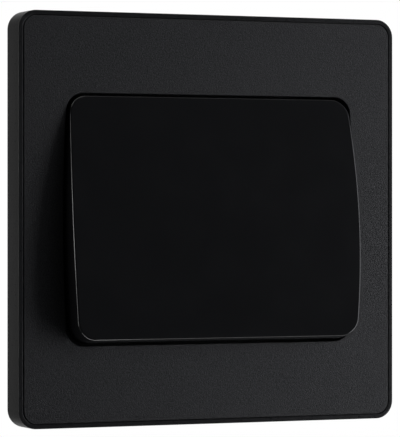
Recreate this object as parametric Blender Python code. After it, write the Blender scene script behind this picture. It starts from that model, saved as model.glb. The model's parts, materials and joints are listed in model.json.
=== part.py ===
"""Wide-rocker wall switch: a screwless 95 mm plate over a two-way toggle mechanism.

Frame: +Z up, +X to the right as seen from the room, +Y into the wall.
The origin is the centre of the plate on the wall plane (y = 0), so the front faces -Y.
The sizes below are in millimetres; each mesh is scaled to metres when it is made.
"""

from math import cos, pi, radians, sin, sqrt

import bmesh
import bpy
from mathutils import Matrix, Vector

MM = 0.001

# Cover: a surround with a thin rim, and a front plate set into it.
PLATE_SIDE = 95.0
PLATE_CORNER = 4.2
RIM_FACE_Y = -7.45
RIM_WIDTH = 1.08
RIM_ROUNDING = 0.12
PLATE_GAP = 0.27
PLATE_PROUD = 0.15
PLATE_THICK = 1.3
SURROUND_WALL = 1.8
SURROUND_WEB = 1.5

# Opening for the rocker. Its left and right sides bow outwards.
OPENING_HALF_W = 35.8
OPENING_HALF_H = 28.85
OPENING_CORNER = 3.8
OPENING_BOW = 0.92

# Rocker, in its own frame: origin on the pivot, -Y towards the finger.
PIVOT_Y = -6.2
ROCKER_TILT = 6.19
ROCKER_HALF_W = 35.18
ROCKER_BOW = 1.13
ROCKER_END_RADIUS = 28.33
ROCKER_CORNER = 4.0
ROCKER_CROWN_Y = -6.45
ROCKER_CROWN_RADIUS = 210.0
ROCKER_BASE_Y = 2.2
ROCKER_WALL = 2.0
ROCKER_EDGE = 0.4

# Mounting frame: a moulded ring round a central web that carries the switch.
FRAME_HALF = 45.3
FRAME_CORNER = 2.2
FRAME_RING_Y = -4.2
FRAME_WEB_Y = -2.0
FRAME_BRIDGE_Y = -1.5
FRAME_SKIN_Y = -0.65
MOAT_HALF_W = 38.2
MOAT_HALF_H = 30.2
WEB_HALF_W = 32.4
WEB_HALF_H = 25.4
BRIDGE_HALF_H = 17.0
APERTURE_HALF_W = 24.0
APERTURE_HALF_H = 22.0
NOTCH_DEPTH = 4.0
POCKET_SKIN = 1.4
FIXING_CENTRES = 60.3
FIXING_SLOT_R = 2.1
FIXING_SLOT_TRAVEL = 3.0
CLIP_X = 25.0
CLIP_WIDTH = 8.0
CLIP_THICK = 0.5

# Switch body: a rear housing and a front deck, screwed together through the frame's web.
BASE_HALF_W = 23.5
BASE_HALF_H = 21.5
BASE_WALL = 2.0
BASE_REAR_Y = 19.5
FLANGE = 1.9
DECK_THICK = 1.5
POST_X = 19.6
POST_Z = 17.6
EAR_INNER_X = 21.0
EAR_OUTER_X = 23.6
EAR_R = 3.6
EAR_MOUTH = 3.2

# Toggle mechanism.
TRUNNION_R = 2.0
TUBE_R = 4.0
BORE_R = 2.75
BORE_TOP_Y = -1.5
TUBE_END_Y = 9.0
SPRING_END_Y = 4.6
PLUNGER_R = 2.45
PLUNGER_TIP_R = 1.6
PLUNGER_TIP_Y = 13.3
LEG_X = 12.0
LEG_Z = 10.5
BLADE_AXIS_Y = 8.2
BLADE_TILT = 7.0
BLADE_OFFSET = -0.6
BLADE_THICK = 0.8
CONTACT_Z = 9.3
CONTACT_FACE_Y = 10.8

# Terminals: brass blocks with a wire tunnel along Z and a screw from the rear.
BLOCK_X = 12.0
BLOCK_Z = 13.2
BLOCK_HALF_W = 3.8
BLOCK_HALF_L = 6.0
BLOCK_FRONT_Y = 7.5
BLOCK_REAR_Y = 13.5
TUNNEL_Y = 10.0
TUNNEL_R = 1.8
WELL_R = 3.8
WELL_BORE_R = 3.0
STRIP_THICK = 1.0
SWITCHED_STRIP_Y = 12.0
COMMON_STRIP_Y = 13.2
FIT = 0.3


def clear_scene():
    for obj in list(bpy.data.objects):
        bpy.data.objects.remove(obj)


def material(name, colour, roughness, metallic=0.0):
    made = bpy.data.materials.new(name)
    made.use_nodes = True
    shader = made.node_tree.nodes["Principled BSDF"]
    shader.inputs["Base Color"].default_value = (*colour, 1.0)
    shader.inputs["Roughness"].default_value = roughness
    shader.inputs["Metallic"].default_value = metallic
    return made


def make_object(name, bm, finish=None, parent=None):
    """Turns a bmesh in millimetres into an object in metres."""
    bmesh.ops.recalc_face_normals(bm, faces=bm.faces)
    bmesh.ops.scale(bm, vec=(MM, MM, MM), verts=bm.verts)
    mesh = bpy.data.meshes.new(name)
    bm.to_mesh(mesh)
    bm.free()
    obj = bpy.data.objects.new(name, mesh)
    bpy.context.scene.collection.objects.link(obj)
    obj.parent = parent
    if finish:
        mesh.materials.append(finish)
    return obj


def combine(target, tools, operation):
    """Applies the target's modifiers and a Boolean of each tool, then removes the tools."""
    for tool in tools:
        tool.parent = target.parent
        modifier = target.modifiers.new(operation.lower(), "BOOLEAN")
        modifier.operation = operation
        modifier.object = tool
    graph = bpy.context.evaluated_depsgraph_get()
    result = bpy.data.meshes.new_from_object(target.evaluated_get(graph))
    target.modifiers.clear()
    target.data = result
    for tool in tools:
        bpy.data.objects.remove(tool)
    return target


def cut(target, *tools):
    return combine(target, tools, "DIFFERENCE")


def join(target, *tools):
    return combine(target, tools, "UNION")


def pivot(name, y, tilt=0.0):
    """An empty on a joint's axis, turned about X by the rest angle."""
    empty = bpy.data.objects.new(name, None)
    bpy.context.scene.collection.objects.link(empty)
    empty.location = (0.0, y * MM, 0.0)
    empty.rotation_euler = (radians(tilt), 0.0, 0.0)
    bpy.context.view_layer.update()
    return empty


def corners():
    """The four (side, up) pairs of a rectangle's corners."""
    return ((-1, -1), (-1, 1), (1, -1), (1, 1))


def rounded(half_w, half_h, corner, bow=0.0, steps=5, side_steps=1):
    """A rounded rectangle in XZ, as (x, z), whose left and right sides bow outwards by bow."""
    points = []
    quarters = ((1, 1, 0.0), (-1, 1, 90.0), (-1, -1, 180.0), (1, -1, 270.0))
    for right, up, start in quarters:
        for step in range(steps + 1):
            angle = radians(start + 90.0 * step / steps)
            x = right * (half_w - corner) + corner * cos(angle)
            z = up * (half_h - corner) + corner * sin(angle)
            points.append((x, z))
        if right != up:
            reach = half_h - corner
            for step in range(1, side_steps):
                points.append((right * half_w, up * reach * (1.0 - 2.0 * step / side_steps)))
    return [(x * (1.0 + bow / half_w * (1.0 - (z / half_h) ** 2)), z) for x, z in points]


def opening_outline(grow=0.0):
    half_w = OPENING_HALF_W + grow
    half_h = OPENING_HALF_H + grow
    return rounded(half_w, half_h, OPENING_CORNER + grow, OPENING_BOW, side_steps=8)


def skin_rings(bm, rings):
    """Joins rings of equal point counts with quads, and returns the made rings of vertices."""
    made = [[bm.verts.new(point) for point in ring] for ring in rings]
    for near, far in zip(made, made[1:]):
        for index in range(len(near)):
            after = (index + 1) % len(near)
            bm.faces.new((near[index], near[after], far[after], far[index]))
    return made


def loft(name, rings, finish=None, parent=None):
    """A closed solid through rings of (x, y, z), with flat ends."""
    bm = bmesh.new()
    made = skin_rings(bm, rings)
    bm.faces.new(made[0])
    bm.faces.new(made[-1])
    return make_object(name, bm, finish, parent)


def prism_y(name, outline, y0, y1, finish=None, parent=None):
    """An outline of (x, z) extruded along Y."""
    rings = [[(x, y, z) for x, z in outline] for y in (y0, y1)]
    return loft(name, rings, finish, parent)


def prism_x(name, outline, x0, x1, finish=None, parent=None):
    """An outline of (y, z) extruded along X."""
    rings = [[(x, y, z) for y, z in outline] for x in (x0, x1)]
    return loft(name, rings, finish, parent)


def box(name, x_span, y_span, z_span, finish=None, parent=None):
    x0, x1 = sorted(x_span)
    z0, z1 = sorted(z_span)
    outline = ((x0, z0), (x1, z0), (x1, z1), (x0, z1))
    return prism_y(name, outline, *sorted(y_span), finish, parent)


def turned(name, profile, centre, direction=(0, 1, 0), steps=20, finish=None, parent=None):
    """A solid of revolution. The profile is (radius, distance along direction), end to end."""
    bm = bmesh.new()
    verts = [bm.verts.new((radius, 0.0, along)) for radius, along in profile]
    edges = [bm.edges.new(pair) for pair in zip(verts, verts[1:])]
    bmesh.ops.spin(bm, geom=verts + edges, axis=(0, 0, 1), angle=2 * pi, steps=steps)
    bmesh.ops.remove_doubles(bm, verts=bm.verts, dist=1e-4)
    bmesh.ops.holes_fill(bm, edges=[edge for edge in bm.edges if edge.is_boundary])
    turn = Vector((0, 0, 1)).rotation_difference(Vector(direction)).to_matrix().to_4x4()
    bmesh.ops.transform(bm, matrix=Matrix.Translation(centre) @ turn, verts=bm.verts)
    return make_object(name, bm, finish, parent)


def rod(name, radius, centre, start, end, direction=(0, 1, 0), steps=20):
    """A cylinder from start to end along direction, measured from centre."""
    return turned(name, ((radius, start), (radius, end)), centre, direction, steps)


def bent_strip(name, line, half_width, thick, finish=None, parent=None):
    """Sheet metal along a line of (y, z), centred on x = 0, of even thickness round its bends."""
    bm = bmesh.new()
    left = [bm.verts.new((-half_width, y, z)) for y, z in line]
    right = [bm.verts.new((half_width, y, z)) for y, z in line]
    for index in range(len(line) - 1):
        bm.faces.new((left[index], left[index + 1], right[index + 1], right[index]))
    obj = make_object(name, bm, finish, parent)
    solid = obj.modifiers.new("sheet", "SOLIDIFY")
    solid.thickness = thick * MM
    solid.offset = 0.0
    solid.use_even_offset = True
    return combine(obj, (), "UNION")


def make_surround(finish, parent):
    """The moulded surround: side walls, a thin rim, and a web behind the front plate."""
    half = PLATE_SIDE / 2
    rings = [[(x, 0.0, z) for x, z in rounded(half, half, PLATE_CORNER, steps=8)]]
    for angle in (0.0, 30.0, 60.0, 90.0):
        inset = RIM_ROUNDING * (1.0 - cos(radians(angle)))
        y = RIM_FACE_Y + RIM_ROUNDING * (1.0 - sin(radians(angle)))
        outline = rounded(half - inset, half - inset, PLATE_CORNER - inset, steps=8)
        rings.append([(x, y, z) for x, z in outline])
    surround = loft("surround_frame", rings, finish, parent)
    web_front = RIM_FACE_Y - PLATE_PROUD + PLATE_THICK + FIT
    web_rear = web_front + SURROUND_WEB
    inner = half - SURROUND_WALL
    recess = half - RIM_WIDTH
    tools = [
        prism_y("hollow", rounded(inner, inner, PLATE_CORNER - SURROUND_WALL), web_rear, 1.0),
        prism_y("recess", rounded(recess, recess, PLATE_CORNER - RIM_WIDTH, steps=8), -9.0, web_front),
        prism_y("opening", opening_outline(0.3), RIM_FACE_Y, 1.0),
        box("pry_notch", (-5.0, 5.0), (-1.3, 1.0), (-half - 1.0, -inner + 0.5)),
    ]
    for side, up in corners():
        x = side * CLIP_X
        reach = CLIP_WIDTH / 2 + 1.0
        channel = (x - reach, x + reach), (web_rear + 1.0, 1.0), (up * (inner - 0.5), up * (inner + 0.9))
        tools.append(box("clip_channel", *channel))
    return cut(surround, *tools)


def make_front_plate(finish, parent):
    """The textured plate, with a small chamfer all round and the rocker's opening."""
    half = PLATE_SIDE / 2 - RIM_WIDTH - PLATE_GAP
    corner = PLATE_CORNER - RIM_WIDTH - PLATE_GAP
    front = RIM_FACE_Y - PLATE_PROUD
    rear = front + PLATE_THICK
    chamfer = PLATE_PROUD
    rings = []
    for y, inset in ((rear, 0.0), (front + chamfer, 0.0), (front, chamfer)):
        outline = rounded(half - inset, half - inset, corner - inset, steps=8)
        rings.append([(x, y, z) for x, z in outline])
    plate = loft("front_plate", rings, finish, parent)
    return cut(plate, prism_y("opening", opening_outline(), front - 1.0, rear + 1.0))


def frame_cuts():
    """What the mounting frame loses: aperture, fixing slots, clip notches and core pockets."""
    front = FRAME_WEB_Y - 1.0
    tools = [prism_y("aperture", rounded(APERTURE_HALF_W, APERTURE_HALF_H, 2.0), front, 1.0)]
    slot_h = FIXING_SLOT_R + FIXING_SLOT_TRAVEL / 2
    for side in (-1, 1):
        x = side * FIXING_CENTRES / 2
        slot = rounded(FIXING_SLOT_R, slot_h, FIXING_SLOT_R - 0.01)
        tools.append(prism_y("slot", [(x + px, pz) for px, pz in slot], front, 1.0))
    for side, up in corners():
        x = side * CLIP_X
        reach = CLIP_WIDTH / 2 + 0.5
        z_span = (up * (FRAME_HALF - NOTCH_DEPTH), up * (FRAME_HALF + 1.0))
        tools.append(box("notch", (x - reach, x + reach), (FRAME_RING_Y - 1.0, 1.0), z_span))
    depth = (FRAME_RING_Y + POCKET_SKIN, 1.0)
    for up in (-1, 1):
        z_span = (up * (MOAT_HALF_H + 1.8), up * (FRAME_HALF - NOTCH_DEPTH - 1.4))
        for x_span in ((-36.0, -13.5), (-11.5, 11.5), (13.5, 36.0)):
            tools.append(box("pocket", x_span, depth, z_span))
    for side in (-1, 1):
        x_span = (side * (MOAT_HALF_W + 2.6), side * (FRAME_HALF - 1.6))
        for z_span in ((-28.0, -10.0), (-8.0, 8.0), (10.0, 28.0)):
            tools.append(box("pocket", x_span, depth, z_span))
    return tools


def make_mounting_frame(finish):
    """The ring behind the cover, and the raised web that carries the switch.

    Between them a moat with a thin floor leaves room for the rocker's skirt.
    """
    outline = rounded(FRAME_HALF, FRAME_HALF, FRAME_CORNER)
    frame = prism_y("mounting_frame", outline, FRAME_RING_Y, 0.0, finish)
    moat = rounded(MOAT_HALF_W, MOAT_HALF_H, 4.0)
    cut(frame, prism_y("moat", moat, FRAME_RING_Y - 1.0, FRAME_SKIN_Y))
    web = prism_y("web", rounded(WEB_HALF_W, WEB_HALF_H, 3.0), FRAME_WEB_Y, 0.5 * FRAME_SKIN_Y)
    reach = MOAT_HALF_W + 1.0
    depth = (FRAME_BRIDGE_Y, 0.5 * FRAME_SKIN_Y)
    bridges = box("bridges", (-reach, reach), depth, (-BRIDGE_HALF_H, BRIDGE_HALF_H))
    join(frame, bridges, web)
    return cut(frame, *frame_cuts())


def make_cover_clip(name, side, up, finish):
    """A spring-steel clip in a notch of the frame, whose nose presses on the surround's wall."""
    inner = PLATE_SIDE / 2 - SURROUND_WALL
    fixed = FRAME_HALF - NOTCH_DEPTH + FIT + CLIP_THICK / 2
    line = (
        (-0.4, fixed),
        (-3.2, fixed),
        (-3.7, fixed + 0.5),
        (-3.7, inner - 1.7),
        (-3.2, inner - 1.2),
        (-2.1, inner + 0.25),
        (-0.9, inner - 1.0),
    )
    clip = bent_strip(name, [(y, up * z) for y, z in line], CLIP_WIDTH / 2, CLIP_THICK, finish)
    clip.location.x = side * CLIP_X * MM
    return clip


def block_places():
    """(name, x, z) of the common terminal and the two switched terminals."""
    return (
        ("com", -BLOCK_X, -BLOCK_Z),
        ("l1", BLOCK_X, -BLOCK_Z),
        ("l2", BLOCK_X, BLOCK_Z),
    )


def base_supports(floor_y):
    """Posts, screw wells, block stops and strip pillars that stand inside the rear housing."""
    end = floor_y + 1.0
    parts = []
    for side, up in corners():
        parts.append(rod("post", 2.9, (side * POST_X, 0, up * POST_Z), FRAME_WEB_Y + 0.5, end))
    for _, x, z in block_places():
        up = 1 if z > 0 else -1
        parts.append(rod("well", WELL_R, (x, 0, z), BLOCK_REAR_Y + FIT, end, steps=24))
        stop = z - up * (BLOCK_HALF_L + FIT)
        parts.append(box("stop", (x - 3.5, x + 3.5), (9.0, end), (stop, stop - up * 0.9)))
    for up in (-1, 1):
        start = SWITCHED_STRIP_Y + STRIP_THICK + FIT
        parts.append(box("strip_pillar", (2.6, 5.6), (start, end), (up * 6.9, up * 11.7)))
    start = COMMON_STRIP_Y + STRIP_THICK + FIT
    parts.append(box("com_pillar", (-3.4, 2.6), (start, end), (-2.0, 2.0)))
    return parts


def base_holes():
    """Screw bores in the posts, driver wells in the floor and wire entries in the end walls."""
    holes = []
    for side, up in corners():
        place = (side * POST_X, 0, up * POST_Z)
        holes.append(rod("post_bore", 1.4, place, FRAME_WEB_Y - 1.0, 9.0, steps=12))
    wall = BASE_HALF_H - BASE_WALL
    for _, x, z in block_places():
        direction = (0, 0, 1 if z > 0 else -1)
        start = BLOCK_REAR_Y - 0.5
        holes.append(rod("well_bore", WELL_BORE_R, (x, 0, z), start, BASE_REAR_Y + 1.0, steps=24))
        holes.append(rod("wire_entry", TUNNEL_R + 0.1, (x, TUNNEL_Y, 0), wall - 0.5, wall + 3.0, direction))
    return holes


def make_base(finish):
    """The rear housing, open to the front, with a flange that sits behind the frame's web."""
    base = prism_y("switch_base", rounded(BASE_HALF_W, BASE_HALF_H, 2.0), FRAME_WEB_Y, BASE_REAR_Y, finish)
    outline = rounded(BASE_HALF_W + FLANGE, BASE_HALF_H + FLANGE, 3.0)
    join(base, prism_y("flange", outline, FIT, FIT + 1.5))
    floor_y = BASE_REAR_Y - BASE_WALL
    inner = rounded(BASE_HALF_W - BASE_WALL, BASE_HALF_H - BASE_WALL, 1.0)
    cut(base, prism_y("hollow", inner, FRAME_WEB_Y - 1.0, floor_y))
    join(base, *base_supports(floor_y))
    return cut(base, *base_holes())


def ear_outline(front):
    """The side view of an ear, as (y, z): a round head round the pivot on a flared foot."""
    head = []
    for step in range(11):
        angle = pi * step / 10
        head.append((PIVOT_Y - EAR_R * sin(angle), EAR_R * cos(angle)))
    upper = [(front + 0.7, EAR_R + 1.2), (front - 0.4, EAR_R + 0.3)]
    lower = [(y, -z) for y, z in reversed(upper)]
    return upper + head + lower


def make_deck(finish):
    """The front deck: two snap-in ears for the rocker's trunnions and a slot for the tube."""
    rear = FRAME_WEB_Y - FIT
    front = rear - DECK_THICK
    outline = rounded(BASE_HALF_W + FLANGE, BASE_HALF_H + FLANGE, 3.0)
    deck = prism_y("switch_deck", outline, front, rear, finish)
    added = []
    for side in (-1, 1):
        added.append(prism_x("ear", ear_outline(front), side * EAR_INNER_X, side * EAR_OUTER_X))
    for _, x, z in block_places():
        leg = (x - 1.2, x + 1.2), (rear - 0.5, BLOCK_FRONT_Y - FIT), (z - 2.5, z + 2.5)
        added.append(box("hold_down", *leg))
    join(deck, *added)
    tools = [prism_y("tube_slot", rounded(6.5, 7.5, 2.0), front - 1.0, rear + 1.0)]
    bore = TRUNNION_R + FIT
    reach = EAR_OUTER_X + 2.0
    tools.append(rod("trunnion_bore", bore, (0, PIVOT_Y, 0), -reach, reach, (1, 0, 0), 24))
    half_mouth = EAR_MOUTH / 2
    tools.append(box("mouth", (-reach, reach), (PIVOT_Y - 6.0, PIVOT_Y), (-half_mouth, half_mouth)))
    for side, up in corners():
        place = (side * POST_X, 0, up * POST_Z)
        tools.append(rod("screw_hole", 1.5, place, front - 1.0, rear + 1.0, steps=12))
    return cut(deck, *tools)


def screw(name, centre, head_r, head_y, under_y, tip_y, shank_r, slot, finish):
    """A slotted screw along Y. The head lies from head_y to under_y, the shank ends at tip_y."""
    away = 1.0 if under_y > head_y else -1.0
    edge = 0.25 * abs(under_y - head_y)
    profile = (
        (0.0, head_y),
        (head_r - edge, head_y),
        (head_r, head_y + away * edge),
        (head_r, under_y),
        (shank_r, under_y),
        (shank_r, tip_y - away * 0.5),
        (shank_r - 0.5, tip_y),
        (0.0, tip_y),
    )
    made = turned(name, profile, centre, finish=finish)
    depth = head_y + away * 0.5 * abs(under_y - head_y)
    x, _, z = centre
    reach = head_r + 1.0
    slot_z = (z - slot / 2, z + slot / 2)
    return cut(made, box("driver_slot", (x - reach, x + reach), (head_y - away, depth), slot_z))


def make_terminal(name, x, z, finish):
    """A brass block with a wire tunnel right through and a threaded hole from the rear."""
    x_span = (x - BLOCK_HALF_W, x + BLOCK_HALF_W)
    z_span = (z - BLOCK_HALF_L, z + BLOCK_HALF_L)
    block = box(f"{name}_terminal", x_span, (BLOCK_FRONT_Y, BLOCK_REAR_Y), z_span, finish)
    reach = BLOCK_HALF_L + 1.0
    tunnel = rod("tunnel", TUNNEL_R, (x, TUNNEL_Y, z), -reach, reach, (0, 0, 1))
    thread = rod("thread", 2.0, (x, 0, z), TUNNEL_Y, BLOCK_REAR_Y + 1.0)
    return cut(block, tunnel, thread)


def make_switched_strip(name, up, finish):
    """A brass strip from a switched terminal to its fixed contact, folded up beside the block."""
    side_x = BLOCK_X - BLOCK_HALF_W - FIT
    y_span = (SWITCHED_STRIP_Y, SWITCHED_STRIP_Y + STRIP_THICK)
    strip = box(name, (-2.4, side_x), y_span, (up * 6.3, up * 12.3), finish)
    far = up * (BLOCK_Z + 4.0)
    tab = box("tab", (side_x - STRIP_THICK, side_x), (8.5, y_span[1]), (up * 6.3, far))
    join(strip, tab)
    return cut(strip, rod("rivet_hole", 1.1, (0, 0, up * CONTACT_Z), 11.0, 14.0, steps=16))


def make_common_strip(finish):
    """The brass strip from the common terminal to the knife edge that the blade rocks on."""
    side_x = BLOCK_HALF_W + FIT - BLOCK_X
    near = COMMON_STRIP_Y
    outline = ((side_x, -16.0), (-3.9, -16.0), (-3.9, -3.0), (2.9, -3.0), (2.9, 3.0), (side_x, 3.0))
    strip = prism_y("com_strip", outline, near, near + STRIP_THICK, finish)
    tab = box("tab", (side_x, side_x + STRIP_THICK), (8.5, near + 0.5), (-16.0, -8.5))
    tip = BLADE_AXIS_Y + BLADE_OFFSET + BLADE_THICK / 2 + FIT
    root = near + 0.5
    knife = ((root, -0.6), (tip + 1.0, -0.6), (tip, 0.0), (tip + 1.0, 0.6), (root, 0.6))
    return join(strip, tab, prism_x("knife", knife, -2.9, 2.9))


def contact_rivet(name, z, face_y, under_y, back_y, finish, parent=None):
    """A silver contact along Y: domed face, head down to under_y, shank and closed end."""
    away = 1.0 if back_y > face_y else -1.0
    profile = (
        (0.0, face_y),
        (0.9, face_y + away * 0.08),
        (1.45, face_y + away * 0.3),
        (1.6, face_y + away * 0.5),
        (1.6, under_y),
        (0.8, under_y),
        (0.8, back_y - away * 0.45),
        (1.3, back_y - away * 0.45),
        (1.1, back_y),
        (0.0, back_y),
    )
    return turned(name, profile, (0, 0, z), steps=16, finish=finish, parent=parent)


def make_blade(finish, parent):
    """The moving contact: a copper strip, bent back towards its ends, that rocks on the knife."""
    y = BLADE_OFFSET
    line = [(y + 0.35, -11.2), (y, -6.5), (y, 6.5), (y + 0.35, 11.2)]
    blade = bent_strip("contact_blade", line, 3.4, BLADE_THICK, finish, parent)
    holes = []
    for side in (-1, 1):
        holes.append(rod("rivet_hole", 1.1, (0, 0, side * CONTACT_Z), y - 2.0, y + 2.0, steps=16))
    return cut(blade, *holes)


def make_carrier(finish, parent):
    """The inner dolly: a plate that the cap snaps to, trunnions, and the tube for the spring."""
    carrier = box("rocker_carrier", (-16.5, 16.5), (-3.3, -1.7), (-16.0, 16.0), finish, parent)
    reach = EAR_INNER_X - 0.4
    beam = box("beam", (-reach, reach), (-2.8, 1.2), (-2.4, 2.4))
    reach = EAR_OUTER_X + 0.6
    trunnions = rod("trunnions", TRUNNION_R, (0, 0, 0), -reach, reach, (1, 0, 0), 24)
    tube = rod("tube", TUBE_R, (0, 0, 0), -2.6, TUBE_END_Y, steps=24)
    ribs = [box("rib", (x - 0.7, x + 0.7), (-2.6, -0.6), (-14.5, 14.5)) for x in (-6.5, 6.5)]
    join(carrier, beam, trunnions, tube, *ribs)
    tools = [rod("bore", BORE_R, (0, 0, 0), BORE_TOP_Y, TUBE_END_Y + 1.0, steps=24)]
    for side, up in corners():
        x = side * LEG_X
        z = up * LEG_Z
        tools.append(box("window", (x - 3.0, x + 3.0), (-5.0, 0.0), (z - 1.6, z + 1.6)))
    return cut(carrier, *tools)


def crown_y(z):
    """The rocker's front face: a shallow cylinder about a line along X."""
    return ROCKER_CROWN_Y + ROCKER_CROWN_RADIUS - sqrt(ROCKER_CROWN_RADIUS**2 - z**2)


def rocker_ring(inset, y_of):
    """The rocker's outline at a depth y_of(z). Its ends follow an arc about the pivot."""
    half_w = ROCKER_HALF_W - inset
    half_h = ROCKER_END_RADIUS - inset
    corner = max(ROCKER_CORNER - inset, 1.0)
    points = []
    for x, z in rounded(half_w, half_h, corner, ROCKER_BOW, steps=6, side_steps=8):
        y = y_of(z)
        points.append((x, y, z * sqrt(1.0 - (y / half_h) ** 2)))
    return points


def rocker_block(name, inset, base_y, rounding, finish=None, parent=None):
    """The rocker's solid form, inset on every side, with a crowned front and rounded edges."""
    side_y = 0.4 * crown_y(ROCKER_END_RADIUS)
    rings = [rocker_ring(inset, lambda z: base_y), rocker_ring(inset, lambda z: side_y)]
    for angle in (0.0, 30.0, 60.0, 90.0) if rounding else (90.0,):
        back = rounding * (1.0 - sin(radians(angle)))
        shrink = rounding * (1.0 - cos(radians(angle)))
        rings.append(rocker_ring(inset + shrink, lambda z, back=back: crown_y(z) + inset + back))
    bm = bmesh.new()
    made = skin_rings(bm, rings)
    bm.faces.new(made[0])
    right = sorted((vert for vert in made[-1] if vert.co.x > 0), key=lambda vert: vert.co.z)
    left = sorted((vert for vert in made[-1] if vert.co.x < 0), key=lambda vert: vert.co.z)
    for index in range(len(right) - 1):
        bm.faces.new((right[index], right[index + 1], left[index + 1], left[index]))
    return make_object(name, bm, finish, parent)


def make_cap(finish, parent):
    """The wide rocker: a crowned shell with four hooked legs that snap through the carrier."""
    cap = rocker_block("rocker_cap", 0.0, ROCKER_BASE_Y, ROCKER_EDGE, finish, parent)
    cut(cap, rocker_block("hollow", ROCKER_WALL, ROCKER_BASE_Y + 1.0, 0.0))
    legs = []
    for side, up in corners():
        x = side * LEG_X
        inner = up * (LEG_Z - 1.0)
        outer = up * (LEG_Z + 0.9)
        nose = up * (LEG_Z + 2.4)
        hook = ((-5.0, inner), (-0.5, inner), (-0.5, outer), (-1.4, nose), (-1.4, outer), (-5.0, outer))
        legs.append(prism_x("leg", hook, x - 2.4, x + 2.4))
    reach = ROCKER_END_RADIUS - 0.5 * ROCKER_WALL
    stations = [reach * (step / 6 - 1.0) for step in range(13)]
    rib = [(crown_y(z) + 0.5 * ROCKER_WALL, z) for z in stations]
    rib += [(-2.4, reach - 0.3), (-2.4, 0.3 - reach)]
    for x in (-27.0, 27.0):
        legs.append(prism_x("rib", rib, x - 0.6, x + 0.6))
    return join(cap, *legs)


def make_spring(finish, parent):
    """A helical compression spring in the tube."""
    wire_r = 0.3
    coil_r = 2.0
    turns = 6.5
    start = BORE_TOP_Y + FIT + wire_r
    end = SPRING_END_Y - wire_r
    count = int(turns * 12)
    curve = bpy.data.curves.new("drive_spring", "CURVE")
    curve.dimensions = "3D"
    curve.bevel_depth = wire_r * MM
    curve.bevel_resolution = 1
    curve.use_fill_caps = True
    line = curve.splines.new("POLY")
    line.points.add(count)
    for index, point in enumerate(line.points):
        angle = 2 * pi * turns * index / count
        along = start + (end - start) * index / count
        place = Vector((coil_r * cos(angle), along, coil_r * sin(angle))) * MM
        point.co = (*place, 1.0)
    spring = bpy.data.objects.new("drive_spring", curve)
    bpy.context.scene.collection.objects.link(spring)
    spring.parent = parent
    curve.materials.append(finish)
    return spring


def make_plunger(finish, parent):
    """The piston that the spring pushes against the blade, with a ball end."""
    start = SPRING_END_Y + FIT
    ball_y = PLUNGER_TIP_Y - PLUNGER_TIP_R
    profile = [
        (0.0, start),
        (PLUNGER_R, start),
        (PLUNGER_R, TUBE_END_Y + 0.6),
        (PLUNGER_TIP_R, TUBE_END_Y + 1.4),
    ]
    for angle in (0.0, 22.5, 45.0, 67.5, 90.0):
        radius = PLUNGER_TIP_R * cos(radians(angle))
        profile.append((radius, ball_y + PLUNGER_TIP_R * sin(radians(angle))))
    return turned("drive_plunger", profile, (0, 0, 0), finish=finish, parent=parent)


def make_cover():
    cover = pivot("cover_slide", 0.0)
    make_surround(material("satin_black", (0.012, 0.012, 0.012), 0.42), cover)
    make_front_plate(material("textured_black", (0.022, 0.022, 0.023), 0.6), cover)


def make_support(steel):
    """The mounting frame with its cover clips and the two screws into the wall box."""
    make_mounting_frame(material("frame_black", (0.02, 0.02, 0.02), 0.55))
    for number, (side, up) in enumerate(corners(), 1):
        make_cover_clip(f"cover_clip_{number}", side, up, steel)
    head = FRAME_WEB_Y - FIT
    for name, side in (("fixing_screw_left", -1), ("fixing_screw_right", 1)):
        place = (side * FIXING_CENTRES / 2, 0, 0)
        screw(name, place, 3.4, head - 2.1, head, 22.0, 1.75, 1.0, steel)


def make_switch(steel):
    """The housing, deck, terminals and fixed contacts."""
    housing_grey = material("housing_grey", (0.62, 0.62, 0.6), 0.5)
    brass = material("brass", (0.72, 0.52, 0.24), 0.3, 1.0)
    silver = material("silver", (0.86, 0.86, 0.84), 0.25, 1.0)
    make_base(housing_grey)
    make_deck(housing_grey)
    head = FRAME_WEB_Y - DECK_THICK - 2 * FIT
    for number, (side, up) in enumerate(corners(), 1):
        place = (side * POST_X, 0, up * POST_Z)
        screw(f"deck_screw_{number}", place, 2.2, head - 1.3, head, 8.0, 1.1, 0.6, steel)
    for name, x, z in block_places():
        make_terminal(name, x, z, brass)
        screw(f"{name}_screw", (x, 0, z), 2.6, 18.9, 16.9, 11.95, 1.7, 0.8, steel)
    make_common_strip(brass)
    strip_rear = SWITCHED_STRIP_Y + STRIP_THICK
    for name, up in (("l1", -1), ("l2", 1)):
        make_switched_strip(f"{name}_strip", up, brass)
        ends = CONTACT_FACE_Y, SWITCHED_STRIP_Y - FIT, strip_rear + FIT + 0.45
        contact_rivet(f"fixed_contact_{name}", up * CONTACT_Z, *ends, silver)
    return silver, brass


def make_mechanism(steel, silver, brass):
    """The rocker with its dolly, spring and plunger, and the rocking blade with its contacts."""
    rocker = pivot("rocker_pivot", PIVOT_Y, -ROCKER_TILT)
    blade = pivot("blade_pivot", BLADE_AXIS_Y, BLADE_TILT)
    make_carrier(material("nylon_white", (0.75, 0.74, 0.7), 0.45), rocker)
    make_cap(material("gloss_black", (0.006, 0.006, 0.007), 0.12), rocker)
    make_spring(steel, rocker)
    make_plunger(brass, rocker)
    make_blade(material("copper", (0.8, 0.42, 0.28), 0.3, 1.0), blade)
    for name, up in (("l1", -1), ("l2", 1)):
        contact_rivet(f"moving_contact_{name}", up * CONTACT_Z, 1.2, 0.3, -1.55, silver, blade)


def finish_shading():
    """Shades every mesh smooth, with its real edges kept sharp."""
    for obj in bpy.data.objects:
        if obj.type == "MESH":
            obj.data.shade_smooth()
            obj.data.set_sharp_from_angle(angle=radians(35.0))


def build():
    clear_scene()
    steel = material("steel", (0.6, 0.6, 0.6), 0.3, 1.0)
    make_cover()
    make_support(steel)
    silver, brass = make_switch(steel)
    make_mechanism(steel, silver, brass)
    finish_shading()


build()
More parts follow.
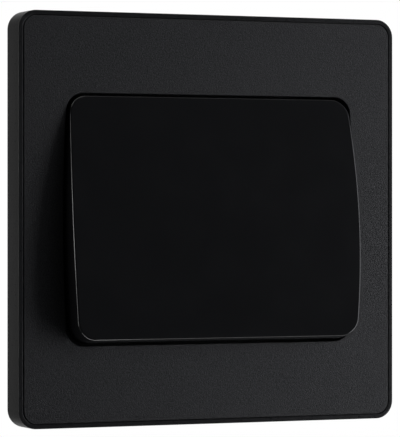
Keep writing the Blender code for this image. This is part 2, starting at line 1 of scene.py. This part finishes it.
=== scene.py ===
"""Wide-rocker wall switch: finished surfaces, materials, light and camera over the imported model."""

import json
from math import cos, pi, radians, sin, sqrt

import bmesh
import bpy
from mathutils import Matrix, Vector


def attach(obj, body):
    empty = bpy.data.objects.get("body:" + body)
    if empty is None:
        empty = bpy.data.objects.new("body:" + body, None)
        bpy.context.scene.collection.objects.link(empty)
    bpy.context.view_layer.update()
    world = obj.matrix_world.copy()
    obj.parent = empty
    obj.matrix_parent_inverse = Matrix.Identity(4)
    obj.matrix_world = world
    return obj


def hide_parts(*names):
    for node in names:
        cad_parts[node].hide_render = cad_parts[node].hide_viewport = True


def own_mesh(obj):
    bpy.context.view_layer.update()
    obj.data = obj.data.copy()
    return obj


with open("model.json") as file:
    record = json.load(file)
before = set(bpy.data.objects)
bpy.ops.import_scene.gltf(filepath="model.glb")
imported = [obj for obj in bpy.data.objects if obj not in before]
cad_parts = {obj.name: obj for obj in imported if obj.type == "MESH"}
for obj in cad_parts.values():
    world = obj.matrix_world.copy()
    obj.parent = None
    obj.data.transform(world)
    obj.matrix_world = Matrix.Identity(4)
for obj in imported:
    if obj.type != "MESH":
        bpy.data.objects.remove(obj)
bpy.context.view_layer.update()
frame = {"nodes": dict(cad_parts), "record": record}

MM = 0.001

# Cover, in millimetres. The front faces -Y and the wall plane is y = 0.
PLATE_HALF = 47.5
PLATE_CORNER = 4.2
RIM_FACE_Y = -7.45
RIM_WIDTH = 1.08
RIM_ROUNDING = 0.04
RIM_INNER_ROUNDING = 0.18
PLATE_GAP = 0.15
GROOVE_DEPTH = 0.2
PLATE_OVERLAP = 0.05
PLATE_FRONT_Y = -7.6
PLATE_REAR_Y = -6.3
WEB_FRONT_Y = -6.0
WEB_REAR_Y = -4.5
WEB_HALF = 42.5
WEB_RING = 6.0
WALL_INNER = 45.7
WALL_EDGE = 0.06
MIN_CORNER = 0.4
PLATE_EDGE = 0.1
PLATE_OPENING_EDGE = 0.2
PRY_NOTCH_HALF = 5.0
CLIP_OFFSET = 25.0
CLIP_CHANNEL_HALF = 5.0

# Opening for the rocker.
OPENING_HALF_W = 35.8
OPENING_HALF_H = 28.85
OPENING_CORNER = 3.8
OPENING_BOW = 0.92
WEB_OPENING_MARGIN = 0.3

# Rocker, in its own frame, with its origin on the pivot.
PIVOT_Y = -6.2
ROCKER_TILT = 6.19
ROCKER_HALF_W = 35.18
ROCKER_BOW = 1.13
ROCKER_END_RADIUS = 28.33
ROCKER_CORNER = 4.0
ROCKER_CROWN_Y = -6.45
ROCKER_CROWN_RADIUS = 210.0
ROCKER_BASE_Y = 2.2
ROCKER_WALL = 2.0
ROCKER_EDGE = 0.4
LEG_X = 12.0
LEG_HALF_W = 2.4
RIB_X = 27.0
RIB_HALF_W = 0.6
RIB_END_Y = -2.4

# Coil spring in the dolly's tube, in the rocker's frame.
SPRING_START_Y = -1.2
SPRING_END_Y = 4.6
SPRING_COIL = 2.0
SPRING_WIRE = 0.3
SPRING_TURNS = 7
SPRING_CLOSED = 0.9
SPRING_STEPS = 20
WIRE_STEPS = 10

# Floor.
FLOOR_HALF = 6000.0
FLOOR_GAP = 0.3

# Camera.
CAMERA_PLACE = (-0.2767, -0.62662, 0.00191)
CAMERA_TARGET = (0.00056, 0.0, 0.00018)
CAMERA_LENS = 240.4

# Brightness of the studio, as (how far a direction points to the right, value). One list is for
# directions in front of the wall plane, the other for directions behind it.
STUDIO_FRONT = (
    (-1.0, 0.08),
    (-0.8, 0.05),
    (-0.4, 0.04),
    (0.0, 0.045),
    (0.3, 0.078),
    (0.42, 0.108),
    (0.5, 0.14),
    (0.75, 0.32),
    (1.0, 0.41),
)
STUDIO_REAR = (
    (-1.0, 0.15),
    (-0.7, 0.09),
    (-0.4, 0.062),
    (-0.15, 0.11),
    (0.1, 0.35),
    (0.4, 0.65),
    (1.0, 0.85),
)
FRONT_TINT = (0.95, 0.98, 1.06)
REAR_TINT = (1.0, 1.0, 1.0)


# ---------------------------------------------------------------- mesh helpers

def make_object(name, bm):
    """Turns a bmesh in millimetres into an object in metres."""
    bmesh.ops.recalc_face_normals(bm, faces=bm.faces)
    bmesh.ops.scale(bm, vec=(MM, MM, MM), verts=bm.verts)
    mesh = bpy.data.meshes.new(name)
    bm.to_mesh(mesh)
    bm.free()
    obj = bpy.data.objects.new(name, mesh)
    bpy.context.scene.collection.objects.link(obj)
    return obj


def combine(target, tools, operation):
    for tool in tools:
        modifier = target.modifiers.new(operation.lower(), "BOOLEAN")
        modifier.operation = operation
        modifier.object = tool
    apply_modifiers(target)
    for tool in tools:
        bpy.data.objects.remove(tool)
    return target


def apply_modifiers(target):
    bpy.context.view_layer.update()
    graph = bpy.context.evaluated_depsgraph_get()
    result = bpy.data.meshes.new_from_object(target.evaluated_get(graph))
    target.modifiers.clear()
    target.data = result


def cut(target, *tools):
    return combine(target, tools, "DIFFERENCE")


def join(target, *tools):
    return combine(target, tools, "UNION")


def shade(target, sharp=40.0):
    """Smooth shading with area-weighted normals and sharp edges past an angle in degrees."""
    target.data.shade_smooth()
    target.data.set_sharp_from_angle(angle=radians(sharp))
    weighted = target.modifiers.new("weighted", "WEIGHTED_NORMAL")
    weighted.keep_sharp = True
    weighted.weight = 60
    return target


def rounded(half_w, half_h, corner, bow=0.0, steps=16, side_steps=1):
    """A rounded rectangle in XZ, as (x, z), whose left and right sides bow outwards by bow."""
    points = []
    quarters = ((1, 1, 0.0), (-1, 1, 90.0), (-1, -1, 180.0), (1, -1, 270.0))
    for right, up, start in quarters:
        for step in range(steps + 1):
            angle = radians(start + 90.0 * step / steps)
            x = right * (half_w - corner) + corner * cos(angle)
            z = up * (half_h - corner) + corner * sin(angle)
            points.append((x, z))
        if right != up:
            reach = half_h - corner
            for step in range(1, side_steps):
                points.append((right * half_w, up * reach * (1.0 - 2.0 * step / side_steps)))
    return [(x * (1.0 + bow / half_w * (1.0 - (z / half_h) ** 2)), z) for x, z in points]


def skin_rings(bm, rings):
    made = [[bm.verts.new(point) for point in ring] for ring in rings]
    for near, far in zip(made, made[1:]):
        for index in range(len(near)):
            after = (index + 1) % len(near)
            bm.faces.new((near[index], near[after], far[after], far[index]))
    return made


def loft(name, rings):
    bm = bmesh.new()
    made = skin_rings(bm, rings)
    bm.faces.new(made[0])
    bm.faces.new(made[-1])
    return make_object(name, bm)


def closed_loft(name, rings):
    """A ring-shaped solid: the last ring joins the first."""
    bm = bmesh.new()
    made = skin_rings(bm, rings)
    first, last = made[0], made[-1]
    for index in range(len(first)):
        after = (index + 1) % len(first)
        bm.faces.new((last[index], last[after], first[after], first[index]))
    return make_object(name, bm)


def prism_y(name, outline, y0, y1):
    return loft(name, [[(x, y, z) for x, z in outline] for y in (y0, y1)])


def prism_x(name, outline, x0, x1):
    return loft(name, [[(x, y, z) for y, z in outline] for x in (x0, x1)])


def box(name, x_span, y_span, z_span):
    x0, x1 = sorted(x_span)
    z0, z1 = sorted(z_span)
    return prism_y(name, ((x0, z0), (x1, z0), (x1, z1), (x0, z1)), *sorted(y_span))


# ---------------------------------------------------------------- visible pieces

def square_ring(y, inset):
    """The cover's outline at a depth y, drawn in by inset."""
    half = PLATE_HALF - inset
    outline = rounded(half, half, max(PLATE_CORNER - inset, MIN_CORNER))
    return [(x, y, z) for x, z in outline]


def rim_rings():
    """The wall's foot, its outer side, and the rim's outer and inner roundings."""
    rings = [square_ring(0.0, WALL_EDGE), square_ring(-WALL_EDGE, 0.0)]
    for step in range(7):
        angle = pi / 2 * step / 6
        y = RIM_FACE_Y + RIM_ROUNDING * (1.0 - sin(angle))
        rings.append(square_ring(y, RIM_ROUNDING * (1.0 - cos(angle))))
    for step in range(5):
        angle = pi / 2 * step / 4
        y = RIM_FACE_Y + RIM_INNER_ROUNDING * (1.0 - cos(angle))
        rings.append(square_ring(y, RIM_WIDTH - RIM_INNER_ROUNDING * (1.0 - sin(angle))))
    return rings


def recess_rings():
    """The groove's floor, the recess under the plate and the wall's inner side."""
    ledge = RIM_WIDTH + PLATE_GAP - PLATE_OVERLAP
    wall = PLATE_HALF - WALL_INNER
    depths = (
        (RIM_FACE_Y + GROOVE_DEPTH, RIM_WIDTH),
        (RIM_FACE_Y + GROOVE_DEPTH, ledge),
        (WEB_FRONT_Y, ledge),
        (WEB_FRONT_Y, WEB_RING),
        (WEB_REAR_Y, WEB_RING),
        (WEB_REAR_Y, wall),
        (-WALL_EDGE, wall),
        (0.0, wall - WALL_EDGE),
    )
    return [square_ring(y, inset) for y, inset in depths]


def make_web():
    """The web behind the plate, with the rocker's opening."""
    web = prism_y("web", rounded(WEB_HALF, WEB_HALF, 1.0), WEB_FRONT_Y, WEB_REAR_Y)
    opening = rounded(
        OPENING_HALF_W + WEB_OPENING_MARGIN,
        OPENING_HALF_H + WEB_OPENING_MARGIN,
        OPENING_CORNER + WEB_OPENING_MARGIN,
        OPENING_BOW,
        side_steps=24,
    )
    return cut(web, prism_y("opening", opening, WEB_FRONT_Y - 1.0, WEB_REAR_Y + 1.0))


def make_surround():
    """Side walls, rounded rim, recess for the plate and the web behind it, as one moulding."""
    surround = closed_loft("surround", rim_rings() + recess_rings())
    join(surround, make_web())
    notch_z = (-PLATE_HALF - 1.0, 0.5 - WALL_INNER)
    tools = [box("pry_notch", (-PRY_NOTCH_HALF, PRY_NOTCH_HALF), (-1.3, 1.0), notch_z)]
    for side in (-1, 1):
        for up in (-1, 1):
            middle = side * CLIP_OFFSET
            x_span = (middle - CLIP_CHANNEL_HALF, middle + CLIP_CHANNEL_HALF)
            z_span = (up * (WALL_INNER - 0.5), up * (WALL_INNER + 0.9))
            tools.append(box("clip_channel", x_span, (WEB_REAR_Y + 1.0, 1.0), z_span))
    cut(surround, *tools)
    return shade(surround)


def plate_outer_ring(y, inset):
    half = PLATE_HALF - RIM_WIDTH - PLATE_GAP - inset
    corner = PLATE_CORNER - RIM_WIDTH - PLATE_GAP - inset
    outline = rounded(half, half, corner, side_steps=24)
    return [(x, y, z) for x, z in outline]


def plate_opening_ring(y, grow):
    outline = rounded(
        OPENING_HALF_W + grow,
        OPENING_HALF_H + grow,
        OPENING_CORNER + grow,
        OPENING_BOW,
        side_steps=24,
    )
    return [(x, y, z) for x, z in outline]


def make_plate():
    """The textured plate: a flat ring with finely rounded edges outside and at the opening."""
    rings = [plate_outer_ring(PLATE_REAR_Y, 0.0)]
    for step in range(5):
        angle = pi / 2 * step / 4
        y = PLATE_FRONT_Y + PLATE_EDGE * (1.0 - sin(angle))
        rings.append(plate_outer_ring(y, PLATE_EDGE * (1.0 - cos(angle))))
    for step in range(5):
        angle = pi / 2 * (1.0 - step / 4)
        y = PLATE_FRONT_Y + PLATE_OPENING_EDGE * (1.0 - sin(angle))
        rings.append(plate_opening_ring(y, PLATE_OPENING_EDGE * (1.0 - cos(angle))))
    rings.append(plate_opening_ring(PLATE_REAR_Y, 0.0))
    return shade(closed_loft("plate", rings))


def crown_y(z):
    """The rocker's front face, which is a shallow arc from top to bottom."""
    return ROCKER_CROWN_Y + ROCKER_CROWN_RADIUS - sqrt(ROCKER_CROWN_RADIUS**2 - z**2)


def rocker_ring(inset, y_of):
    """The rocker's outline, drawn in by inset, at the depth that y_of gives for a height z."""
    half_w = ROCKER_HALF_W - inset
    half_h = ROCKER_END_RADIUS - inset
    corner = max(ROCKER_CORNER - inset, 1.0)
    points = []
    for x, z in rounded(half_w, half_h, corner, ROCKER_BOW, steps=14, side_steps=32):
        y = y_of(z)
        points.append((x, y, z * sqrt(1.0 - (y / half_h) ** 2)))
    return points


def rocker_block(name, inset, base_y, rounding):
    """The rocker's form, inset on every side, its ends turned about the pivot."""
    rings = []
    for step in range(7):
        share = step / 6

        def side_y(z):
            return base_y + share * (crown_y(z) + inset + rounding - base_y)

        rings.append(rocker_ring(inset, side_y))
    steps = 8 if rounding else 0
    for step in range(1, steps + 1):
        angle = pi / 2 * step / steps
        back = inset + rounding * (1.0 - sin(angle))
        shrink = rounding * (1.0 - cos(angle))
        rings.append(rocker_ring(inset + shrink, lambda z: crown_y(z) + back))
    bm = bmesh.new()
    made = skin_rings(bm, rings)
    bm.faces.new(made[0])
    right = sorted((vert for vert in made[-1] if vert.co.x > 0), key=lambda vert: vert.co.z)
    left = sorted((vert for vert in made[-1] if vert.co.x < 0), key=lambda vert: vert.co.z)
    for index in range(len(right) - 1):
        bm.faces.new((right[index], right[index + 1], left[index + 1], left[index]))
    return make_object(name, bm)


def rocker_turn():
    """From the rocker's own axes to the switch's, with the rocker's top pressed in."""
    return Matrix.Translation((0.0, PIVOT_Y * MM, 0.0)) @ Matrix.Rotation(radians(-ROCKER_TILT), 4, "X")


def rocker_legs():
    """Four hooked legs that clip into the dolly."""
    legs = []
    for side in (-1, 1):
        for up in (-1, 1):
            inner, outer, nose = up * 9.5, up * 11.4, up * 12.9
            hook = (
                (-5.0, inner),
                (-0.5, inner),
                (-0.5, outer),
                (-1.4, nose),
                (-1.4, outer),
                (-5.0, outer),
            )
            x = side * LEG_X
            legs.append(prism_x("leg", hook, x - LEG_HALF_W, x + LEG_HALF_W))
    return legs


def rocker_ribs():
    """Two stiffening ribs that follow the crown."""
    reach = ROCKER_END_RADIUS - 0.5 * ROCKER_WALL
    stations = [reach * (step / 6 - 1.0) for step in range(13)]
    outline = [(crown_y(z) + 0.5 * ROCKER_WALL, z) for z in stations]
    outline += [(RIB_END_Y, reach - 0.3), (RIB_END_Y, 0.3 - reach)]
    return [prism_x("rib", outline, x - RIB_HALF_W, x + RIB_HALF_W) for x in (-RIB_X, RIB_X)]


def make_rocker():
    """The glossy rocker: a crowned shell with hooked legs and two stiffening ribs inside."""
    cap = rocker_block("rocker", 0.0, ROCKER_BASE_Y, ROCKER_EDGE)
    cut(cap, rocker_block("hollow", ROCKER_WALL, ROCKER_BASE_Y + 1.0, 0.0))
    join(cap, *rocker_legs(), *rocker_ribs())
    cap.data.transform(rocker_turn())
    return shade(cap)


def coil_height(turns):
    """How far along its axis the wire is after so many turns. The coils at both ends touch."""
    pitch = 2.05 * SPRING_WIRE
    free = SPRING_END_Y - SPRING_START_Y - 2.0 * SPRING_WIRE - 2.0 * SPRING_CLOSED * pitch
    share = min(max((turns - SPRING_CLOSED) / (SPRING_TURNS - 2.0 * SPRING_CLOSED), 0.0), 1.0)
    ends = min(turns, SPRING_CLOSED) + max(turns - SPRING_TURNS + SPRING_CLOSED, 0.0)
    return SPRING_START_Y + SPRING_WIRE + pitch * ends + free * share


def make_spring():
    """A helical compression spring in the dolly's tube, with a closed coil at each end."""
    rings = []
    for index in range(SPRING_STEPS * SPRING_TURNS + 1):
        turns = index / SPRING_STEPS
        along = coil_height(turns)
        out = 2.0 * pi * turns
        ring = []
        for step in range(WIRE_STEPS):
            around = 2.0 * pi * step / WIRE_STEPS
            radius = SPRING_COIL + SPRING_WIRE * cos(around)
            ring.append((radius * cos(out), along + SPRING_WIRE * sin(around), radius * sin(out)))
        rings.append(ring)
    spring = loft("spring", rings)
    spring.data.transform(rocker_turn())
    return shade(spring, 50.0)


def squash_spring(spring):
    """Gives the spring a mesh of its own; nothing here shortens it."""
    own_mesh(spring)


# ---------------------------------------------------------------- materials

class Nodes:
    """A material under construction. Coordinates are the object's own, in metres."""

    def __init__(self, name):
        self.material = bpy.data.materials.new(name)
        self.material.use_nodes = True
        self.tree = self.material.node_tree
        self.shader = self.tree.nodes["Principled BSDF"]
        self.place = self.add("ShaderNodeTexCoord").outputs["Object"]

    def add(self, kind, **settings):
        node = self.tree.nodes.new(kind)
        for key, value in settings.items():
            setattr(node, key, value)
        return node

    def link(self, source, target):
        self.tree.links.new(source, target)

    def noise(self, grain_mm, detail=2.0, roughness=0.5, stretch=None):
        """Noise whose grains are about grain_mm across."""
        node = self.add("ShaderNodeTexNoise")
        node.inputs["Scale"].default_value = 1.0 / (grain_mm * MM)
        node.inputs["Detail"].default_value = detail
        node.inputs["Roughness"].default_value = roughness
        source = self.place
        if stretch:
            mapping = self.add("ShaderNodeMapping")
            mapping.inputs["Scale"].default_value = stretch
            self.link(self.place, mapping.inputs["Vector"])
            source = mapping.outputs["Vector"]
        self.link(source, node.inputs["Vector"])
        return node.outputs["Fac"]

    def remap(self, source, low, high, from_low=0.3, from_high=0.7):
        node = self.add("ShaderNodeMapRange")
        node.inputs["From Min"].default_value = from_low
        node.inputs["From Max"].default_value = from_high
        node.inputs["To Min"].default_value = low
        node.inputs["To Max"].default_value = high
        self.link(source, node.inputs["Value"])
        return node.outputs["Result"]

    def blend(self, factor, first, second):
        node = self.add("ShaderNodeMix", data_type="RGBA")
        node.inputs["A"].default_value = (*first, 1.0)
        node.inputs["B"].default_value = (*second, 1.0)
        self.link(factor, node.inputs["Factor"])
        return node.outputs["Result"]

    def blend_with(self, factor, first, second):
        """Mixes an existing colour socket towards a plain colour."""
        node = self.add("ShaderNodeMix", data_type="RGBA")
        node.inputs["B"].default_value = (*second, 1.0)
        self.link(first, node.inputs["A"])
        self.link(factor, node.inputs["Factor"])
        return node.outputs["Result"]

    def worn_edges(self, low=0.53, high=0.6):
        """1 on convex edges, 0 elsewhere."""
        pointed = self.add("ShaderNodeNewGeometry").outputs["Pointiness"]
        return self.remap(pointed, 0.0, 1.0, low, high)

    def bump(self, height, depth_mm, strength=1.0, under=None):
        node = self.add("ShaderNodeBump")
        node.inputs["Strength"].default_value = strength
        node.inputs["Distance"].default_value = depth_mm * MM
        self.link(height, node.inputs["Height"])
        if under:
            self.link(under, node.inputs["Normal"])
        return node.outputs["Normal"]

    def set(self, **values):
        """Plain numbers go straight onto the shader's sockets, and sockets are linked."""
        for key, value in values.items():
            socket = self.shader.inputs[key.replace("_", " ")]
            if isinstance(value, bpy.types.NodeSocket):
                self.link(value, socket)
            else:
                socket.default_value = value
        return self.material


def grey(value):
    return (value, value, value)


def gloss_black():
    """The rocker's polished plastic."""
    n = Nodes("gloss_black_finish")
    haze = n.noise(9.0, 3.0)
    fine = n.noise(0.5, 2.0)
    colour = n.blend(n.remap(haze, 0.0, 1.0), (0.0036, 0.0036, 0.004), (0.0046, 0.0046, 0.005))
    colour = n.blend_with(n.worn_edges(), colour, grey(0.012))
    normal = n.bump(n.noise(7.0, 1.0), 0.004, 0.5)
    normal = n.bump(fine, 0.0006, 0.6, normal)
    return n.set(
        Base_Color=colour,
        Roughness=n.remap(haze, 0.1, 0.17),
        Normal=normal,
        IOR=1.5,
    )


def satin_black():
    """The surround's smooth, slightly dull plastic."""
    n = Nodes("satin_black_finish")
    haze = n.noise(6.0, 3.0)
    colour = n.blend(n.remap(haze, 0.0, 1.0), (0.0026, 0.0026, 0.0027), (0.0042, 0.0042, 0.0043))
    colour = n.blend_with(n.worn_edges(), colour, grey(0.02))
    normal = n.bump(n.noise(0.22, 2.0), 0.004, 0.5)
    return n.set(
        Base_Color=colour,
        Roughness=n.remap(n.noise(0.6, 3.0), 0.27, 0.38),
        Normal=normal,
        IOR=1.5,
    )


def textured_black():
    """The plate's finely spark-eroded plastic."""
    n = Nodes("textured_black_finish")
    grain = n.noise(0.21, 2.0, 0.6)
    coarse = n.noise(0.42, 2.0, 0.5)
    shade_by = n.remap(grain, 0.0, 1.0, 0.34, 0.66)
    colour = n.blend(shade_by, (0.0004, 0.0004, 0.0004), (0.015, 0.015, 0.0154))
    normal = n.bump(coarse, 0.04, 0.7)
    normal = n.bump(grain, 0.075, 1.0, normal)
    return n.set(
        Base_Color=colour,
        Specular_IOR_Level=n.remap(grain, 0.33, 0.64, 0.3, 0.7),
        Roughness=n.remap(coarse, 0.4, 0.56),
        Normal=normal,
        IOR=1.5,
    )


def frame_black():
    """The mounting frame's matt plastic."""
    n = Nodes("frame_black_finish")
    haze = n.noise(5.0, 3.0)
    colour = n.blend(n.remap(haze, 0.0, 1.0), grey(0.013), grey(0.02))
    colour = n.blend_with(n.worn_edges(), colour, grey(0.034))
    normal = n.bump(n.noise(0.35, 3.0), 0.012, 0.6)
    return n.set(Base_Color=colour, Roughness=n.remap(n.noise(0.8, 3.0), 0.48, 0.64), Normal=normal)


def housing_grey():
    """The housing's thermoset plastic, with dark specks."""
    n = Nodes("housing_grey_finish")
    haze = n.noise(4.0, 4.0)
    colour = n.blend(n.remap(haze, 0.0, 1.0), (0.5, 0.5, 0.485), (0.6, 0.6, 0.585))
    colour = n.blend_with(n.worn_edges(), colour, (0.7, 0.7, 0.69))
    specks = n.remap(n.noise(0.25, 2.0), 0.0, 1.0, 0.7, 0.74)
    colour = n.blend_with(specks, colour, (0.34, 0.34, 0.33))
    normal = n.bump(n.noise(0.3, 3.0), 0.012, 0.6)
    return n.set(Base_Color=colour, Roughness=n.remap(n.noise(0.8, 3.0), 0.42, 0.58), Normal=normal)


def nylon_white():
    """The dolly's and plunger's slightly see-through nylon."""
    n = Nodes("nylon_white_finish")
    haze = n.noise(3.0, 3.0)
    colour = n.blend(n.remap(haze, 0.0, 1.0), (0.62, 0.6, 0.53), (0.72, 0.7, 0.64))
    colour = n.blend_with(n.worn_edges(), colour, (0.8, 0.79, 0.74))
    normal = n.bump(n.noise(0.4, 3.0), 0.008, 0.5)
    return n.set(
        Base_Color=colour,
        Roughness=n.remap(n.noise(1.0, 3.0), 0.36, 0.5),
        Normal=normal,
        Subsurface_Weight=0.08,
        Subsurface_Scale=0.001,
    )


def metal(name, dark, light, edge, rough_low, rough_high, stretch):
    """Drawn or turned metal with fine lines, a little tarnish and bright edges."""
    n = Nodes(name + "_finish")
    tarnish = n.noise(1.6, 4.0)
    lines = n.noise(0.08, 3.0, 0.6, stretch)
    colour = n.blend(n.remap(tarnish, 0.0, 1.0), dark, light)
    colour = n.blend_with(n.worn_edges(), colour, edge)
    normal = n.bump(lines, 0.006, 0.5)
    return n.set(
        Base_Color=colour,
        Roughness=n.remap(lines, rough_low, rough_high),
        Normal=normal,
        Metallic=1.0,
    )


ALONG_X = (0.08, 1.0, 1.0)
ALONG_Z = (1.0, 1.0, 0.08)


def brass():
    return metal("brass", (0.52, 0.35, 0.13), (0.7, 0.5, 0.22), (0.86, 0.68, 0.38), 0.24, 0.42, ALONG_Z)


def copper():
    return metal("copper", (0.6, 0.27, 0.16), (0.78, 0.4, 0.26), (0.9, 0.56, 0.42), 0.24, 0.4, ALONG_Z)


def silver():
    return metal("silver", (0.7, 0.69, 0.66), (0.84, 0.84, 0.82), (0.93, 0.93, 0.92), 0.2, 0.34, ALONG_X)


def steel():
    return metal("steel", (0.42, 0.43, 0.44), (0.6, 0.61, 0.62), (0.78, 0.79, 0.8), 0.22, 0.4, ALONG_X)


def make_materials():
    """One finish for each of the record's material slots."""
    return {
        "gloss_black": gloss_black(),
        "satin_black": satin_black(),
        "textured_black": textured_black(),
        "frame_black": frame_black(),
        "housing_grey": housing_grey(),
        "nylon_white": nylon_white(),
        "brass": brass(),
        "copper": copper(),
        "silver": silver(),
        "steel": steel(),
    }


# ---------------------------------------------------------------- stage

def only_for_camera(tree, seen, lit):
    """A shader that the camera sees as one thing and every other ray as another."""
    path = tree.nodes.new("ShaderNodeLightPath")
    mix = tree.nodes.new("ShaderNodeMixShader")
    tree.links.new(path.outputs["Is Camera Ray"], mix.inputs["Fac"])
    tree.links.new(lit, mix.inputs[1])
    tree.links.new(seen, mix.inputs[2])
    return mix.outputs["Shader"]


def add_ramp(tree, across, stops, tint):
    """A brightness from how far a direction points to the right."""
    node = tree.nodes.new("ShaderNodeValToRGB")
    ramp = node.color_ramp
    ramp.interpolation = "LINEAR"
    ramp.elements.remove(ramp.elements[0])
    for index, (right, value) in enumerate(stops):
        place = 0.5 + 0.5 * right
        stop = ramp.elements[0] if index == 0 else ramp.elements.new(place)
        stop.position = place
        stop.color = (*(value * part for part in tint), 1.0)
    tree.links.new(across, node.inputs["Fac"])
    return node.outputs["Color"]


def add_range(tree, source, from_low, from_high):
    """0 to 1 as the source goes from from_low to from_high."""
    node = tree.nodes.new("ShaderNodeMapRange")
    node.inputs["From Min"].default_value = from_low
    node.inputs["From Max"].default_value = from_high
    tree.links.new(source, node.inputs["Value"])
    return node.outputs["Result"]


def make_world():
    """White where it is seen directly. For other rays a dim studio, brighter on the right."""
    world = bpy.data.worlds.new("studio")
    bpy.context.scene.world = world
    world.use_nodes = True
    tree = world.node_tree
    seen = tree.nodes["Background"]
    seen.inputs["Color"].default_value = (1.0, 1.0, 1.0, 1.0)
    seen.inputs["Strength"].default_value = 1.0
    lit = tree.nodes.new("ShaderNodeBackground")
    lit.inputs["Strength"].default_value = 1.0
    direction = tree.nodes.new("ShaderNodeTexCoord")
    split = tree.nodes.new("ShaderNodeSeparateXYZ")
    tree.links.new(direction.outputs["Generated"], split.inputs["Vector"])
    across = add_range(tree, split.outputs["X"], -1.0, 1.0)
    behind = add_range(tree, split.outputs["Y"], -0.08, 0.08)
    mix = tree.nodes.new("ShaderNodeMix")
    mix.data_type = "RGBA"
    tree.links.new(behind, mix.inputs["Factor"])
    tree.links.new(add_ramp(tree, across, STUDIO_FRONT, FRONT_TINT), mix.inputs["A"])
    tree.links.new(add_ramp(tree, across, STUDIO_REAR, REAR_TINT), mix.inputs["B"])
    tree.links.new(mix.outputs["Result"], lit.inputs["Color"])
    shader = only_for_camera(tree, seen.outputs["Background"], lit.outputs["Background"])
    tree.links.new(shader, tree.nodes["World Output"].inputs["Surface"])


def make_floor():
    """A plain pale floor under the switch."""
    bm = bmesh.new()
    bmesh.ops.create_grid(bm, x_segments=8, y_segments=8, size=FLOOR_HALF)
    bmesh.ops.translate(bm, verts=bm.verts, vec=(0.0, 0.0, -PLATE_HALF - FLOOR_GAP))
    floor = make_object("floor", bm)
    material = bpy.data.materials.new("pale_floor")
    material.use_nodes = True
    tree = material.node_tree
    diffuse = tree.nodes["Principled BSDF"]
    diffuse.inputs["Base Color"].default_value = (0.25, 0.25, 0.25, 1.0)
    diffuse.inputs["Roughness"].default_value = 0.9
    glow = tree.nodes.new("ShaderNodeEmission")
    glow.inputs["Color"].default_value = (1.0, 1.0, 1.0, 1.0)
    glow.inputs["Strength"].default_value = 1.0
    shader = only_for_camera(tree, glow.outputs["Emission"], diffuse.outputs["BSDF"])
    tree.links.new(shader, tree.nodes["Material Output"].inputs["Surface"])
    floor.data.materials.append(material)
    floor.visible_diffuse = False
    floor.visible_glossy = False
    floor.visible_shadow = False


def softbox(name, place, target, width, height, watts):
    """An area light at place that points at target. Sizes and places are in metres."""
    light = bpy.data.lights.new(name, "AREA")
    light.shape = "RECTANGLE"
    light.size = width
    light.size_y = height
    light.energy = watts
    holder = bpy.data.objects.new(name, light)
    holder.location = place
    aim = Vector(target) - Vector(place)
    holder.rotation_euler = aim.to_track_quat("-Z", "Y").to_euler()
    holder.visible_camera = False
    bpy.context.scene.collection.objects.link(holder)
    return holder


def make_lights():
    """One main box at the right, and narrow ones that draw the highlights on the rocker's edges."""
    centre = (0.0, 0.0, 0.0)
    right = softbox("right_box", (0.39, -0.23, -0.05), centre, 0.22, 0.45, 0.92)
    right.data.color = (0.99, 1.0, 1.06)
    softbox("left_box", (-0.58, 0.16, 0.0), centre, 0.28, 0.5, 1.5)
    softbox("left_strip", (-0.58, 0.16, 0.03), centre, 0.28, 0.13, 0.6)
    softbox("upper_left_strip", (-0.58, 0.03, 0.16), centre, 0.07, 0.16, 0.16)
    for name, x, width, watts in (("lower_strip", -0.07, 0.34, 0.42), ("lower_fade", 0.17, 0.14, 0.05)):
        softbox(name, (x, 0.03, -0.32), (x, 0.0, 0.0), width, 0.075, watts)
    for name, x, width, watts in (("upper_strip", -0.12, 0.34, 0.28), ("upper_fade", 0.15, 0.2, 0.04)):
        softbox(name, (x, -0.015, 0.32), (x, 0.0, 0.0), width, 0.05, watts)


def make_camera():
    data = bpy.data.cameras.new("camera")
    data.lens = CAMERA_LENS
    data.sensor_width = 36.0
    data.clip_start = 0.05
    data.clip_end = 50.0
    camera = bpy.data.objects.new("camera", data)
    camera.location = CAMERA_PLACE
    aim = Vector(CAMERA_TARGET) - Vector(CAMERA_PLACE)
    camera.rotation_euler = aim.to_track_quat("-Z", "Y").to_euler()
    bpy.context.scene.collection.objects.link(camera)
    bpy.context.scene.camera = camera


# ---------------------------------------------------------------- assembly

def dress(materials):
    """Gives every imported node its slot's finish."""
    slots = {part["node"]: part["material_slot"] for part in frame["record"]["subparts"]}
    for name, obj in frame["nodes"].items():
        obj.data.materials.clear()
        obj.data.materials.append(materials[slots[name]])


def add_piece(piece, body, slot, node, materials):
    piece.data.materials.clear()
    piece.data.materials.append(materials[slot])
    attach(piece, body)
    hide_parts(node)


def main():
    bpy.context.scene.view_settings.view_transform = "Standard"
    materials = make_materials()
    dress(materials)
    add_piece(make_surround(), "cover", "satin_black", "surround_frame", materials)
    add_piece(make_plate(), "cover", "textured_black", "front_plate", materials)
    add_piece(make_rocker(), "rocker", "gloss_black", "rocker_cap", materials)
    spring = make_spring()
    add_piece(spring, "rocker", "steel", "drive_spring", materials)
    squash_spring(spring)
    make_world()
    make_floor()
    make_lights()
    make_camera()


main()
